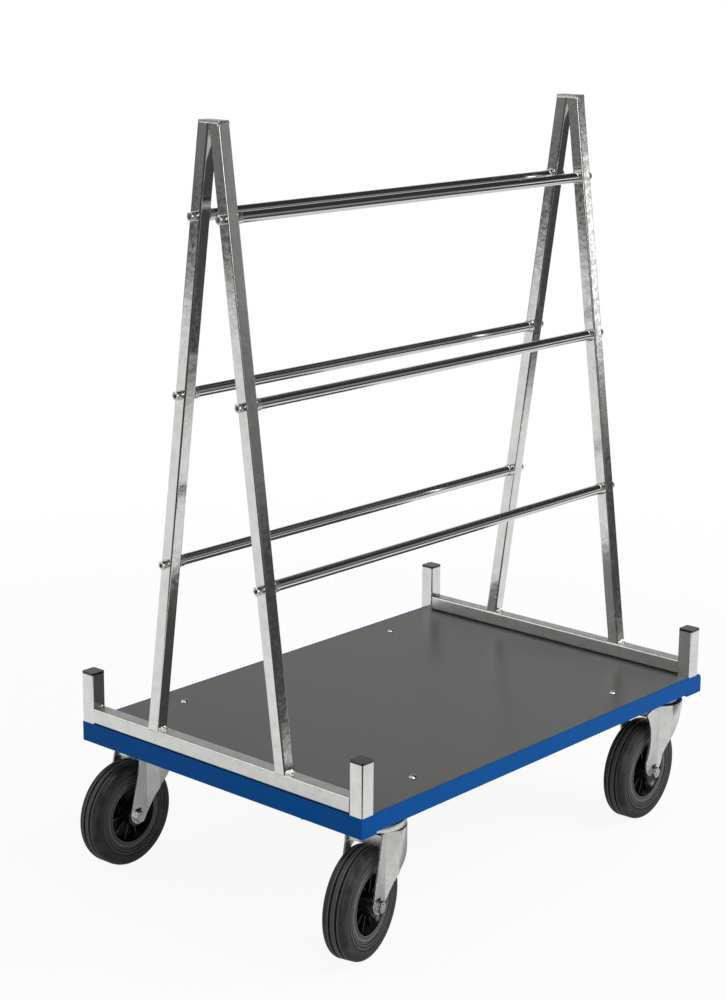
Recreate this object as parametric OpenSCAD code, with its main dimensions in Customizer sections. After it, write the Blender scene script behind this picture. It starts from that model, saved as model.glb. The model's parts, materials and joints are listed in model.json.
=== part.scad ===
// A-frame sheet cart: a low steel frame with a deck board on four swivel casters,
// two welded A-frames that carry six rails, and corner posts that keep sheets on the base tubes.
// X runs along the cart, the front side is -Y, and the floor is Z = 0.

/* [Base frame] */
// Length of the base frame
frame_l = 1025; // [950:5:1200]
// Width of the base frame
frame_w = 700; // [640:5:800]
// Height of the side members
side_h = 33.5; // [32:0.5:45]
// Sheet thickness of the side members
side_t = 3; // [2:0.5:4]
// Width of the side members' lower flange
side_flange = 35; // [32:1:45]
// Plate thickness of the end members
end_t = 4.5; // [3:0.5:6]
// Length of the end members' caster plates
end_plate_l = 165; // [160:1:200]
// Length of the lug under each left corner
lug_l = 38; // [30:1:45]
// Length of the lug under each right corner
lug_right = 48; // [30:1:60]
// Inset of the caster plates from the side faces
plate_inset = 10; // [6:0.5:11]
// Radius of the right end's rolled top edge
roll_r = 11; // [8:0.5:12]
// Flat lip behind the rolled edge
roll_lip = 2; // [1:0.5:4]

/* [Deck] */
// Thickness of the deck board
deck_t = 18; // [15:0.5:19]
// Gap around the deck board
deck_gap = 0.8; // [0.4:0.1:2]
// Distance of the cross members from the A-frames' outer faces
cross_x = 203.5; // [196:0.5:246]
// Width of the cross members
cross_w = 40; // [36:1:50]
// Sheet thickness of the cross members
cross_t = 2.5; // [2:0.5:3]
// Distance of the deck bolts from the side faces
deck_bolt_side = 62; // [50:1:100]
// Diameter of the deck bolts
deck_bolt_d = 8; // [6:1:10]

/* [A-frames] */
// Distance from the right A-frame to the right end
right_inset = 13; // [13:0.5:30]
// Side of the corner posts
post_s = 30; // [28:1:35]
// Height of the corner posts above the deck
post_h = 94; // [70:1:150]
// Height of the caps above the posts
cap_h = 4.5; // [3:0.5:8]
// Depth of the caps inside the posts
cap_plug = 14; // [8:1:25]
// Side of the base tubes
base_s = 28; // [26:1:30]
// Gap between the base tubes and the deck
base_gap = 2; // [0.5:0.5:4]
// Side of the leg tubes
leg_s = 25; // [22:0.5:26]
// Half width over the legs' feet
leg_foot = 172; // [120:1:190]
// Height of the A-frames above the deck, with their top plates
aframe_h = 1130; // [1020:5:1500]
// Thickness of the top plates
top_t = 4; // [2:0.5:6]
// Overhang of the top plates
top_over = 0; // [0:0.5:4]
// Wall of the square tubes
tube_wall = 2; // [1.5:0.25:3]
// Corner radius of the square tubes
tube_r = 3; // [2.5:0.25:4]
// Distance of the base bolts from the side faces
base_bolt_side = 145; // [135:1:155]
// Diameter of the base bolts
base_bolt_d = 8; // [6:1:10]

/* [Rails] */
// Diameter of the rails
rail_d = 20; // [18:0.5:22]
// Wall of the rails
rail_wall = 1.5; // [1:0.25:2]
// Height of the lowest rails above the deck
rail_first = 350; // [200:5:390]
// Drop from the A-frames' tops to the highest rails
rail_drop = 160; // [120:5:300]
// Diameter of the rail bolts
rail_bolt_d = 10; // [6:1:12]
// Length of the threaded plugs in the rail ends
rail_plug_l = 28; // [24:1:60]

/* [Casters] */
// Height of the frame above the tyres
head_rise = 42; // [40:1:60]
// Distance of the left casters' kingpins from the left end
caster_left = 100; // [88:1:100]
// Distance of the right casters' kingpins from the right end
caster_right = 77; // [77:1:96]
// Distance of the kingpins from the side faces
caster_side = 57.5; // [56.5:0.5:70]
// Thickness of a caster's round top plate
plate_t = 5; // [4:0.5:6]
// Diameter of the kingpins
kingpin_d = 16; // [12:1:18]
// Radius of the swivel head
head_r = 55; // [50:0.5:55]
// Sheet thickness of the forks
fork_t = 3.5; // [3:0.25:4]
// Half width over the fork legs
fork_half = 36; // [33:0.25:37]
// Distance of the axle behind the kingpin
trail = 52; // [46:1:60]
// Turn of the front left caster
turn_front_left = 13; // [-30:1:30]
// Turn of the rear left caster
turn_rear_left = 2; // [-30:1:30]
// Turn of the front right caster
turn_front_right = 3; // [-30:1:30]
// Turn of the rear right caster
turn_rear_right = 8; // [-30:1:30]

/* [Wheels] */
// Diameter of the tyres
wheel_d = 200; // [160:1:240]
// Width of the tyres
tyre_w = 47; // [40:1:50]
// Radius of the tyres' shoulders
shoulder_r = 11; // [6:0.5:13]
// Height of the tyres' section
tyre_h = 34; // [28:0.5:38]
// Thickness of the wheel rims
rim_t = 12; // [8:0.5:16]
// Width of the wheel rims
rim_w = 42; // [36:1:44]
// Width of a tread groove
groove_w = 4.5; // [2:0.5:6]
// Depth of a tread groove
groove_d = 3.5; // [1:0.5:6]
// Width of the rib between the grooves
mid_rib_w = 8; // [6:0.5:12]
// Diameter of the axle bolts
axle_d = 12; // [10:0.5:14]
// Number of ribs in a wheel
rib_count = 10; // [6:1:14]

/* [Hidden] */
$fn = 64;
// Clearances: round parts that turn, pieces that only pass, threads and seats
run_gap = 0.05;
pass_gap = 0.3;
seat_gap = 0.1;
cut = 1;
thread_past = 1;
tube_inner_r = max(tube_r - tube_wall, 0.5);

// Levels from the floor up
caster_h = wheel_d + head_rise;
plate_z = caster_h;
side_z = plate_z + end_t;
flange_z = side_z + side_t;
deck_z = side_z + side_h;
deck_low = deck_z - deck_t;
base_low = deck_z + base_gap;
foot_z = base_low + base_s;
leg_top = deck_z + aframe_h - top_t;
end_h = end_t + side_h;

// Places along and across
half_l = frame_l / 2;
half_w = frame_w / 2;
roll_w = roll_r + roll_lip;
aframe_left = -half_l;
aframe_right = half_l - right_inset;
side_right = half_l - roll_w;
function cross_mid(side) = side < 0 ? aframe_left + cross_x : aframe_right - cross_x;
base_bolt_y = half_w - base_bolt_side;

// Legs: the inner faces meet at the top, so the lean follows from the feet
leg_gap = 0.4;
leg_rise = leg_top - foot_z;
leg_first_lean = atan((leg_foot - leg_s - leg_gap / 2) / leg_rise);
leg_wide = leg_s / cos(leg_first_lean);
leg_lean = atan((leg_foot - leg_wide - leg_gap / 2) / leg_rise);
leg_foot_y = leg_foot - leg_wide / 2;
function leg_y(z) = leg_foot_y - (z - foot_z) * tan(leg_lean);
rail_step = (aframe_h - rail_drop - rail_first) / 2;
rail_z = [for (i = [0 : 2]) deck_z + rail_first + i * rail_step];
rail_names = ["low", "mid", "top"];
rail_left = aframe_left + leg_s;
rail_right = aframe_right - leg_s;

// Bolt heads and nuts in proportion to their thread
function hex_d(d) = 1.6 * d / cos(30);
function head_h(d) = 0.65 * d;
function nut_h(d) = 0.8 * d;
cap_head_d = 1.6 * rail_bolt_d;
cap_head_h = 1.2 * rail_bolt_d;
socket_af = 0.8 * rail_bolt_d;
dome_d = 2 * deck_bolt_d;
dome_h = 0.5 * deck_bolt_d;

// Swivel head: cup under the plate, gap, then the fork's rim round the ball race
// Values in pairs are for the left casters and the right ones
cup_h = 7;
cup_wall = 9;
cup_inset = [1, 9];
rim_up = [0, 6];
head_gap = 2;
cup_z = plate_z - plate_t - cup_h;
rim_z = cup_z - head_gap;
crown_floor = 4;
crown_z = rim_z - crown_floor;
crown_low = crown_z - crown_floor;
race_top_gap = 0.5;
race_w = 12;
kingpin_head_r = 14;
kingpin_head_h = 6;
kingpin_nut_h = 0.6 * kingpin_d;

// Fork: straps that flare into the round head, with a round tip about the axle
axle_z = wheel_d / 2;
fork_rear = 39;
lip_h = 20;
boss_r = 9.5;
slot_l = 14;
slot_h = 5;
slot_up = 13;
// Fold between strap and head: its place along the caster and its slant
fold_x = [-30, -40];
fold_slant = [45, 36];
// Tip: centre along and above the axle, and radius
tip = [[2, 5.5, 20.7], [-6, 18, 24]];
// Front edge: depth of the head, then points along from the kingpin and down from the rim
front_drop = [22, 8];
front_edge = [
    [[30, 36], [15, 51], [-9, 72]],
    [[15, 8], [2, 33], [-19, 64]]
];
// Narrow part above the tip: along from the kingpin and up from the axle
neck = [[-19, 34], [-32, 34]];
// The right casters' straps have a hollow rear edge below a wider top
wide_x = -88.5;
wide_run = 18;
waist_x = -68;
waist_rise = 11;
hollow_r = 85;
bulge_h = 9;

// Axle and wheel hub
fork_in = fork_half - fork_t;
sleeve_wall = 3;
sleeve_r = axle_d / 2 + sleeve_wall;
rim_r = wheel_d / 2 - tyre_h;
rim_open_r = rim_r - rim_t;
hub_r = 20;
hub_half = fork_in - 1;
web_t = 6;
rib_t = 2.4;
rib_half = 13;

// Casters: name, kingpin place and turn
casters = [
    ["front_left", -half_l + caster_left, -half_w + caster_side, turn_front_left],
    ["rear_left", -half_l + caster_left, half_w - caster_side, turn_rear_left],
    ["front_right", half_l - caster_right, -half_w + caster_side, turn_front_right],
    ["rear_right", half_l - caster_right, half_w - caster_side, turn_rear_right]
];

// The origin is on the floor under the middle of the whole cart, wheels included
function wheel_left(c) = c[1] - shoulder_r - (trail + wheel_d / 2 - shoulder_r) * cos(c[3])
    - (tyre_w / 2 - shoulder_r) * abs(sin(c[3]));
cart_left = min(wheel_left(casters[0]), wheel_left(casters[1]));
centre_x = (cart_left + half_l) / 2;

BLUE = "#0055A8";
ZINC = "#C9CBCB";
DECK = "#55565A";
BLACK = "#222222";
RUBBER = "#3A3A3A";
STEEL = "#B5B5B2";

// Square with round corners about the middle
module round_square(w, h, r) {
    square([w - 2 * r, h], center = true);
    square([w, h - 2 * r], center = true);
    for (x = [-1, 1], y = [-1, 1])
        translate([x * (w / 2 - r), y * (h / 2 - r)])
            circle(r);
}

// Hollow square tube section
module tube_section(s) {
    difference() {
        round_square(s, s, tube_r);
        round_square(s - 2 * tube_wall, s - 2 * tube_wall, tube_inner_r);
    }
}

// Hex bolt with its head above z = 0 and its shank below
module hex_bolt(d, length) {
    cylinder(d = hex_d(d), h = head_h(d), $fn = 6);
    translate([0, 0, -length])
        cylinder(d = d, h = length + cut / 2);
}

// Hex nut that hangs below z = 0
module hex_nut(d, h = 0) {
    height = h > 0 ? h : nut_h(d);
    translate([0, 0, -height])
        difference() {
            cylinder(d = hex_d(d), h = height, $fn = 6);
            translate([0, 0, -cut])
                cylinder(d = d + 2 * run_gap, h = height + 2 * cut);
        }
}

// Kingpins of one end: side -1 is the left end, 1 the right
module kingpin_places(side) {
    for (c = casters)
        if (sign(c[1]) == side)
            translate([c[1], c[2], 0])
                children();
}

function base_bolt_x(side) = side < 0 ? aframe_left + base_s / 2 : aframe_right - base_s / 2;

module base_bolt_places(side) {
    for (y = [-1, 1])
        translate([base_bolt_x(side), y * base_bolt_y, 0])
            children();
}

module through_hole(d, z0, z1) {
    translate([0, 0, z0 - cut])
        cylinder(d = d + 2 * pass_gap, h = z1 - z0 + 2 * cut);
}

// Base frame
module deck_board() {
    x0 = -half_l + end_t + deck_gap;
    x1 = side_right - deck_gap;
    w = frame_w - 2 * (side_t + deck_gap);
    color(DECK)
        difference() {
            translate([x0, -w / 2, deck_low])
                cube([x1 - x0, w, deck_t]);
            deck_bolt_places()
                through_hole(deck_bolt_d, deck_low, deck_z);
            for (side = [-1, 1])
                base_bolt_places(side)
                    through_hole(base_bolt_d, deck_low, deck_z);
        }
}

module deck_bolt_places() {
    for (x = [-1, 1], y = [-1, 1])
        translate([cross_mid(x), y * (half_w - deck_bolt_side), 0])
            children();
}

// Angle section side member on the front, mirrored for the rear
module front_side_member() {
    x0 = -half_l + end_t;
    length = side_right - x0;
    color(BLUE)
        difference() {
            translate([x0, -half_w, side_z])
                union() {
                    cube([length, side_t, side_h]);
                    cube([length, side_flange, side_t]);
                }
            for (side = [-1, 1])
                kingpin_places(side)
                    through_hole(hex_d(kingpin_d), side_z, flange_z);
        }
}

module rear_side_member() {
    mirror([0, 1, 0])
        front_side_member();
}

// Bottom plate of an end member, from the outer face inwards along +X
module end_plate(lug) {
    translate([0, -half_w + plate_inset, 0])
        cube([end_plate_l, frame_w - 2 * plate_inset, end_t]);
    translate([0, -half_w, 0])
        cube([lug, frame_w, end_t]);
}

module end_holes(side) {
    kingpin_places(side)
        through_hole(kingpin_d, plate_z, side_z);
    base_bolt_places(side)
        through_hole(base_bolt_d, plate_z, side_z);
}

module left_end_member() {
    color(BLUE)
        difference() {
            translate([-half_l, 0, plate_z])
                union() {
                    end_plate(lug_l);
                    translate([0, -half_w, 0])
                        cube([end_t, frame_w, end_h]);
                }
            end_holes(-1);
        }
}

// Outline of the rolled edge: the flat inner side is at x = 0 and the outer face at x = w
module rolled_outline(w, h, r) {
    square([w, h - r]);
    square([w - r, h]);
    intersection() {
        translate([w - r, h - r])
            circle(r);
        square([w, h]);
    }
}

module right_end_member() {
    inner_r = roll_r - end_t;
    color(BLUE)
        difference() {
            union() {
                translate([half_l, 0, plate_z])
                    mirror([1, 0, 0])
                        end_plate(lug_right);
                translate([side_right, half_w, plate_z])
                    rotate([90, 0, 0])
                        linear_extrude(frame_w)
                            difference() {
                                rolled_outline(roll_w, end_h, roll_r);
                                translate([-cut, end_t])
                                    rolled_outline(roll_w - end_t + cut, end_h - 2 * end_t, inner_r);
                            }
                for (y = [-half_w + side_t, half_w])
                    translate([side_right, y, plate_z])
                        rotate([90, 0, 0])
                            linear_extrude(side_t)
                                rolled_outline(roll_w, end_h, roll_r);
            }
            end_holes(1);
        }
}

// Channel across the frame, open below, that the deck board is bolted to
module cross_member(x) {
    h = deck_low - flange_z;
    length = frame_w - 2 * (side_t + pass_gap);
    color(BLUE)
        difference() {
            translate([x - cross_w / 2, -length / 2, flange_z])
                difference() {
                    cube([cross_w, length, h]);
                    translate([cross_t, -cut, -cut])
                        cube([cross_w - 2 * cross_t, length + 2 * cut, h - cross_t + cut]);
                }
            deck_bolt_places()
                through_hole(deck_bolt_d, flange_z, deck_low);
        }
}

module left_cross_member() {
    cross_member(cross_mid(-1));
}

module right_cross_member() {
    cross_member(cross_mid(1));
}

// Dome-headed bolts through the deck board, with their nuts under the cross members
module deck_fasteners() {
    seat = deck_low - cross_t;
    dome_r = (dome_d * dome_d / 4 + dome_h * dome_h) / (2 * dome_h);
    shank = deck_z - seat + nut_h(deck_bolt_d) + thread_past;
    color(ZINC)
        deck_bolt_places() {
            translate([0, 0, deck_z])
                union() {
                    intersection() {
                        translate([0, 0, dome_h - dome_r])
                            sphere(dome_r);
                        cylinder(d = dome_d + cut, h = dome_h + cut);
                    }
                    translate([0, 0, -shank])
                        cylinder(d = deck_bolt_d, h = shank + cut);
                }
            translate([0, 0, seat])
                hex_nut(deck_bolt_d);
        }
}

// Bushes that hold the deck board up where the A-frames are bolted down
module base_spacers() {
    wall = 4.5;
    color(ZINC)
        for (side = [-1, 1])
            base_bolt_places(side)
                translate([0, 0, side_z])
                    difference() {
                        cylinder(d = base_bolt_d + 2 * wall, h = deck_low - side_z);
                        through_hole(base_bolt_d, 0, deck_low - side_z);
                    }
}

// Bolts from below through the end plates into nuts inside the base tubes
module base_fasteners() {
    seat = base_low + tube_wall;
    shank = seat - plate_z + nut_h(base_bolt_d) + thread_past;
    color(STEEL)
        for (side = [-1, 1])
            base_bolt_places(side) {
                translate([0, 0, plate_z])
                    mirror([0, 0, 1])
                        hex_bolt(base_bolt_d, shank);
                translate([0, 0, seat + nut_h(base_bolt_d)])
                    hex_nut(base_bolt_d);
            }
}

// A-frame tubes, each given by its outer face and the side it lies on
module base_tube(side) {
    length = frame_w - 2 * post_s;
    color(ZINC)
        difference() {
            translate([base_bolt_x(side), length / 2, base_low + base_s / 2])
                rotate([90, 0, 0])
                    linear_extrude(length)
                        tube_section(base_s);
            base_bolt_places(side)
                through_hole(base_bolt_d, base_low, base_low + tube_wall);
        }
}

module left_base_tube() {
    base_tube(-1);
}

module right_base_tube() {
    base_tube(1);
}

function post_x(side) = side < 0 ? aframe_left + post_s / 2 : aframe_right - post_s / 2;
post_y = half_w - post_s / 2;

module post(side, y) {
    color(ZINC)
        translate([post_x(side), y, deck_z])
            linear_extrude(post_h)
                tube_section(post_s);
}

module left_front_post() {
    post(-1, -post_y);
}

module left_rear_post() {
    post(-1, post_y);
}

module right_front_post() {
    post(1, -post_y);
}

module right_rear_post() {
    post(1, post_y);
}

// Plastic caps pressed into the tops of the posts
module post_caps() {
    plug = post_s - 2 * (tube_wall + seat_gap);
    color(BLACK)
        for (side = [-1, 1], y = [-post_y, post_y])
            translate([post_x(side), y, deck_z + post_h]) {
                linear_extrude(cap_h)
                    round_square(post_s, post_s, tube_r);
                translate([0, 0, -cap_plug])
                    linear_extrude(cap_plug + cut)
                        round_square(plug, plug, tube_inner_r);
            }
}

function leg_x(side) = side < 0 ? aframe_left + leg_s / 2 : aframe_right - leg_s / 2;

// Leg on the front side, cut level at its foot and top and bored for the rail bolts
module front_leg(side) {
    spare = 40;
    color(ZINC)
        difference() {
            intersection() {
                translate([leg_x(side), -leg_foot_y, foot_z])
                    rotate([-leg_lean, 0, 0])
                        translate([0, 0, -spare])
                            linear_extrude(leg_rise / cos(leg_lean) + 2 * spare)
                                tube_section(leg_s);
                translate([leg_x(side) - leg_s, -leg_foot - spare, foot_z])
                    cube([2 * leg_s, leg_foot + 2 * spare, leg_rise]);
            }
            for (z = rail_z)
                translate([leg_x(side), -leg_y(z), z])
                    rotate([0, 90, 0])
                        cylinder(d = rail_bolt_d + 2 * pass_gap, h = leg_s + 2 * cut, center = true);
        }
}

module left_front_leg() {
    front_leg(-1);
}

module left_rear_leg() {
    mirror([0, 1, 0])
        front_leg(-1);
}

module right_front_leg() {
    front_leg(1);
}

module right_rear_leg() {
    mirror([0, 1, 0])
        front_leg(1);
}

// Thin plate over the two legs of an A-frame
module top_plate(side) {
    w = leg_s + 2 * top_over;
    length = 2 * (leg_wide + leg_gap / 2 + top_over);
    color(ZINC)
        translate([leg_x(side), 0, leg_top])
            linear_extrude(top_t)
                round_square(w, length, tube_r);
}

module left_top_plate() {
    top_plate(-1);
}

module right_top_plate() {
    top_plate(1);
}

// Rails: y side is -1 for the front and 1 for the rear
module rail(y, z) {
    length = rail_right - rail_left;
    color(ZINC)
        translate([rail_left, y * leg_y(z), z])
            rotate([0, 90, 0])
                difference() {
                    cylinder(d = rail_d, h = length);
                    translate([0, 0, -cut])
                        cylinder(d = rail_d - 2 * rail_wall, h = length + 2 * cut);
                }
}

// Both ends of every rail, with +Z along the rail into the cart
module rail_ends(left, right) {
    for (z = rail_z, y = [-1, 1]) {
        translate([left, y * leg_y(z), z])
            rotate([0, 90, 0])
                children();
        translate([right, y * leg_y(z), z])
            rotate([0, -90, 0])
                children();
    }
}

module rail_plugs() {
    d = rail_d - 2 * (rail_wall + seat_gap);
    color(STEEL)
        rail_ends(rail_left, rail_right)
            difference() {
                cylinder(d = d, h = rail_plug_l);
                translate([0, 0, -cut])
                    cylinder(d = rail_bolt_d + 2 * run_gap, h = rail_plug_l + 2 * cut);
            }
}

// Socket-head bolts from the A-frames' outer faces into the rail plugs
module rail_bolts() {
    socket_depth = cap_head_h * 0.6;
    edge = 1.2;
    short = 4;
    color(ZINC)
        rail_ends(aframe_left, aframe_right)
            difference() {
                union() {
                    translate([0, 0, -cap_head_h + edge])
                        cylinder(d = cap_head_d, h = cap_head_h - edge);
                    translate([0, 0, -cap_head_h])
                        cylinder(d1 = cap_head_d - 2 * edge, d2 = cap_head_d, h = edge);
                    cylinder(d = rail_bolt_d, h = leg_s + rail_plug_l - short);
                }
                translate([0, 0, -cap_head_h - cut])
                    cylinder(d = socket_af / cos(30), h = socket_depth + cut, $fn = 6);
            }
}

// Nuts on the kingpins, inside the frame
module caster_fasteners() {
    color(ZINC)
        for (side = [-1, 1])
            kingpin_places(side)
                translate([0, 0, side_z + kingpin_nut_h])
                    hex_nut(kingpin_d, kingpin_nut_h);
}

// Casters: the kingpin is on the Z axis and the axle trails along -X
module at_caster(c, turned = true) {
    translate([c[1], c[2], 0])
        rotate([0, 0, turned ? c[3] : 0])
            children();
}

function right_type(c) = c[1] > 0 ? 1 : 0;

// Round top plate with the cup that covers the ball race
module caster_plate(c) {
    r = head_r - cup_inset[right_type(c)];
    color(ZINC)
        at_caster(c, false)
            difference() {
                translate([0, 0, cup_z])
                    cylinder(r = r, h = cup_h + plate_t);
                translate([0, 0, cup_z - cut])
                    cylinder(r = r - cup_wall, h = cup_h + cut);
                through_hole(kingpin_d, cup_z, plate_z);
            }
}

module kingpin(c) {
    head_top = crown_low - pass_gap;
    color(STEEL)
        at_caster(c, false) {
            translate([0, 0, head_top])
                cylinder(d = kingpin_d, h = side_z + kingpin_nut_h + thread_past - head_top);
            translate([0, 0, head_top - kingpin_head_h])
                cylinder(r = kingpin_head_r, h = kingpin_head_h);
        }
}

module race(c) {
    outer = fork_in - pass_gap;
    color(STEEL)
        at_caster(c)
            translate([0, 0, crown_z])
                difference() {
                    cylinder(r = outer, h = cup_z - race_top_gap - crown_z);
                    translate([0, 0, -cut])
                        cylinder(r = outer - race_w, h = cup_z - crown_z + 2 * cut);
                }
}

// Fork seen from above: a round head, and straps that meet it in a slanting fold
module fork_plan(type, shrink) {
    half = fork_half - shrink;
    slope = tan(fold_slant[type]);
    fold = fold_x[type] + shrink * tan(fold_slant[type] / 2);
    difference() {
        circle(head_r - shrink);
        for (y = [-1, 1])
            polygon([[-2 * head_r, y * half], [fold, y * half],
                     [fold + head_r, y * (half + head_r * slope)],
                     [-2 * head_r, y * (half + head_r * slope)]]);
    }
    translate([-2 * head_r, -half])
        square([2 * head_r + fold, 2 * half]);
}

function tip_middle(type) = [-trail + tip[type][0], axle_z + tip[type][1]];

// Point on the round tip where a line from p touches it: side 1 is the rear, -1 the front
function tip_touch(type, p, side) =
    let (d = p - tip_middle(type))
    let (a = atan2(d[1], d[0]) + side * acos(tip[type][2] / norm(d)))
    tip_middle(type) + tip[type][2] * [cos(a), sin(a)];

// Fork seen from the side, with a straight or a hollow rear edge
module fork_side(type) {
    top_z = rim_z + rim_up[type];
    middle = tip_middle(type);
    bulge_x = middle[0] - tip[type][2];
    low = [neck[type][0], axle_z + neck[type][1]];
    front = concat(
        [[head_r + cut, top_z], [head_r + cut, rim_z - front_drop[type]]],
        [for (p = front_edge[type]) [p[0], rim_z - p[1]]],
        [low, tip_touch(type, low, -1), middle]
    );
    top = [-fork_rear, top_z];
    straight = [tip_touch(type, top, 1), top];
    wide = [
        [bulge_x, middle[1]],
        [bulge_x, middle[1] + bulge_h],
        [wide_x, rim_z],
        [wide_x + wide_run, top_z]
    ];
    difference() {
        polygon(concat(front, type == 1 ? wide : straight));
        if (type == 1)
            translate([waist_x - hollow_r, (axle_z + rim_z) / 2 + waist_rise])
                circle(hollow_r);
    }
    translate(middle)
        circle(tip[type][2]);
    translate([-trail, axle_z])
        circle(boss_r);
}

module fork(c) {
    type = right_type(c);
    deep = 2 * (head_r + cut);
    color(ZINC)
        at_caster(c)
            difference() {
                union() {
                    intersection() {
                        linear_extrude(rim_z + rim_up[type])
                            difference() {
                                fork_plan(type, 0);
                                fork_plan(type, fork_t);
                            }
                        rotate([90, 0, 0])
                            linear_extrude(deep, center = true)
                                fork_side(type);
                    }
                    translate([0, 0, crown_low])
                        linear_extrude(crown_floor)
                            intersection() {
                                fork_plan(type, 0);
                                translate([-fork_rear, -deep / 2])
                                    square([deep, deep]);
                            }
                    translate([-fork_rear, -fork_half + cut, crown_z - lip_h])
                        cube([fork_t, 2 * (fork_half - cut), lip_h]);
                }
                translate([0, 0, crown_low - cut])
                    cylinder(d = kingpin_d + 4 * run_gap, h = crown_floor + 2 * cut);
                translate([-trail, 0, axle_z])
                    rotate([90, 0, 0])
                        cylinder(d = axle_d + 2 * run_gap, h = deep, center = true);
                translate([-trail, 0, axle_z + slot_up])
                    cube([slot_l, deep, slot_h], center = true);
            }
}

// Axle bolt with its nut on the front side, and the sleeve that the hub turns on
module axle(c) {
    thread_end = 1.5;
    thin_nut = 0.65 * axle_d;
    color(ZINC)
        at_caster(c)
            translate([-trail, 0, axle_z])
                rotate([90, 0, 0]) {
                    translate([0, 0, -fork_half])
                        mirror([0, 0, 1])
                            hex_bolt(axle_d, 2 * fork_half + thin_nut + thread_end);
                    translate([0, 0, fork_half + thin_nut])
                        hex_nut(axle_d, thin_nut);
                    translate([0, 0, -fork_in + run_gap])
                        difference() {
                            cylinder(r = sleeve_r, h = 2 * (fork_in - run_gap));
                            translate([0, 0, -cut])
                                cylinder(d = axle_d + 2 * run_gap, h = 2 * fork_in + 2 * cut);
                        }
                }
}

module at_wheel(c) {
    at_caster(c)
        translate([-trail, 0, axle_z])
            rotate([90, 0, 0])
                children();
}

// Moulded wheel body: hub, web, ribs and rim
module wheel(c) {
    color(BLACK)
        at_wheel(c)
            difference() {
                union() {
                    cylinder(r = hub_r, h = 2 * hub_half, center = true);
                    cylinder(r = rim_open_r + cut, h = web_t, center = true);
                    difference() {
                        cylinder(r = rim_r, h = rim_w, center = true);
                        cylinder(r = rim_open_r, h = rim_w + 2 * cut, center = true);
                    }
                    for (i = [0 : rib_count - 1])
                        rotate([0, 0, i * 360 / rib_count])
                            translate([hub_r - cut, -rib_t / 2, -rib_half])
                                cube([rim_open_r - hub_r + 2 * cut, rib_t, 2 * rib_half]);
                }
                cylinder(r = sleeve_r + run_gap, h = 2 * hub_half + 2 * cut, center = true);
            }
}

// Tyre section: round shoulders and two tread grooves
module tyre(c) {
    inner = rim_r + run_gap;
    outer = wheel_d / 2;
    half = tyre_w / 2;
    groove_y = mid_rib_w / 2;
    color(RUBBER)
        at_wheel(c)
            rotate_extrude()
                difference() {
                    union() {
                        translate([inner, -half])
                            square([outer - shoulder_r - inner, tyre_w]);
                        translate([inner, -half + shoulder_r])
                            square([outer - inner, tyre_w - 2 * shoulder_r]);
                        for (y = [-1, 1])
                            translate([outer - shoulder_r, y * (half - shoulder_r)])
                                circle(shoulder_r);
                    }
                    for (y = [groove_y, -groove_y - groove_w])
                        translate([outer - groove_d, y])
                            square([groove_d + cut, groove_w]);
                }
}

CASTER_PIECES = ["caster_plate", "kingpin", "race", "fork", "axle", "wheel", "tyre"];

// Moves the frame's own middle to the origin under the cart
module place() {
    translate([-centre_x, 0, 0])
        children();
}

place() deck_board();
place() front_side_member();
place() rear_side_member();
place() left_end_member();
place() right_end_member();
place() left_cross_member();
place() right_cross_member();
place() deck_fasteners();
place() base_spacers();
place() base_fasteners();
place() left_base_tube();
place() right_base_tube();
place() left_front_post();
place() left_rear_post();
place() right_front_post();
place() right_rear_post();
place() post_caps();
place() left_front_leg();
place() left_rear_leg();
place() right_front_leg();
place() right_rear_leg();
place() left_top_plate();
place() right_top_plate();
for (i = [0 : 2]) {
    place() rail(-1, rail_z[i]);
    place() rail(1, rail_z[i]);
}
place() rail_plugs();
place() rail_bolts();
place() caster_fasteners();
for (c = casters) {
    place() caster_plate(c);
    place() kingpin(c);
    place() race(c);
    place() fork(c);
    place() axle(c);
    place() wheel(c);
    place() tyre(c);
}
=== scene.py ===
"""Finishes, welds, tyres and a plain studio for an A-frame sheet cart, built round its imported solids."""

import json
import math

import bmesh
import bpy
from bpy.props import FloatProperty, FloatVectorProperty, IntProperty, PointerProperty
from mathutils import Matrix, Vector, noise


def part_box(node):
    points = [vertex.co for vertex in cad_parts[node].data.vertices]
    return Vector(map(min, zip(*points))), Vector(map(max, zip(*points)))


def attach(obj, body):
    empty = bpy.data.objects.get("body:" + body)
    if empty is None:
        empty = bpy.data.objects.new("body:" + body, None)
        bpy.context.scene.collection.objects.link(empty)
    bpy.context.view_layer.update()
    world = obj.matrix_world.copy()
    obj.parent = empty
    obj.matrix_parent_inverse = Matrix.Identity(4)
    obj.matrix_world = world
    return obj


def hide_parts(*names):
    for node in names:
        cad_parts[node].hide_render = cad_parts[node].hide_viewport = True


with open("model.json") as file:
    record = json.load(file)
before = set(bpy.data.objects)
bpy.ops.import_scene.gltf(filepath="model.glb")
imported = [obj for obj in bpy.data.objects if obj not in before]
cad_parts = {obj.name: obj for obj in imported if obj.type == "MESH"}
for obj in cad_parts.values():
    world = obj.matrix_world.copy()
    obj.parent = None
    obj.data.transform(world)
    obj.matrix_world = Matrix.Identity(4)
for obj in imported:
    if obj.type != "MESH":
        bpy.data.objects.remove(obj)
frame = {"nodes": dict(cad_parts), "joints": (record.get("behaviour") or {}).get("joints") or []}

bl_info = {
    "name": "Sheet cart finishes",
    "version": (1, 0, 0),
    "blender": (4, 5, 0),
    "location": "View3D > Sidebar > Sheet cart",
    "description": "Gives a packed sheet cart its finishes, welds, tyres and studio",
    "category": "Object",
}

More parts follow.
